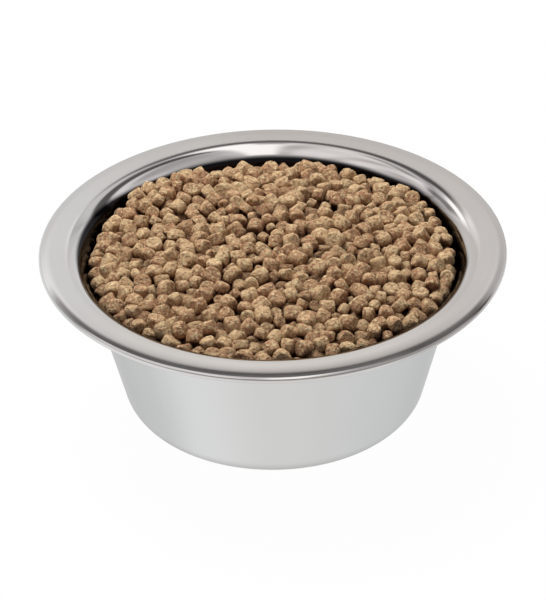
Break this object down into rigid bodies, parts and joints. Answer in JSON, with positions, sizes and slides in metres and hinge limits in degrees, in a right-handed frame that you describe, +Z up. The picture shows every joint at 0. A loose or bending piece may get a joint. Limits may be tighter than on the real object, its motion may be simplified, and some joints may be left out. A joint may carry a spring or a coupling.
{
  "type": "pet food bowl",
  "caption": "Round stainless steel pet bowl with tapered wall, wide flange and rolled edge, heaped with dry kibble.",
  "frame": {"origin": "centre of the bowl's flat underside", "axes": "+Z up along the bowl's axis, out of its mouth; +X to the right and +Y away from the viewer of the picture"},
  "size_m": [0.22, 0.22, 0.0889],
  "materials": {
    "steel": "satin",
    "kibble": "matte"
  },
  "bodies": {
    "root": {"bowl": "steel", "kibble_bed": "kibble", "kibble_01": "kibble", "kibble_02": "kibble", "kibble_03": "kibble", "kibble_04": "kibble", "kibble_05": "kibble", "kibble_06": "kibble", "kibble_07": "kibble", "kibble_08": "kibble", "kibble_09": "kibble", "kibble_10": "kibble", "kibble_11": "kibble", "kibble_12": "kibble", "kibble_13": "kibble", "kibble_14": "kibble", "kibble_15": "kibble", "kibble_16": "kibble", "kibble_17": "kibble", "kibble_18": "kibble", "kibble_19": "kibble", "kibble_20": "kibble", "kibble_21": "kibble", "kibble_22": "kibble", "kibble_23": "kibble", "kibble_24": "kibble", "kibble_25": "kibble", "kibble_26": "kibble", "kibble_27": "kibble", "kibble_28": "kibble", "kibble_29": "kibble", "kibble_30": "kibble", "kibble_31": "kibble", "kibble_32": "kibble", "kibble_33": "kibble", "kibble_34": "kibble", "kibble_35": "kibble", "kibble_36": "kibble", "kibble_37": "kibble", "kibble_38": "kibble", "kibble_39": "kibble", "kibble_40": "kibble", "kibble_41": "kibble", "kibble_42": "kibble", "kibble_43": "kibble", "kibble_44": "kibble", "kibble_45": "kibble", "kibble_46": "kibble", "kibble_47": "kibble", "kibble_48": "kibble"}
  },
  "joints": []
}
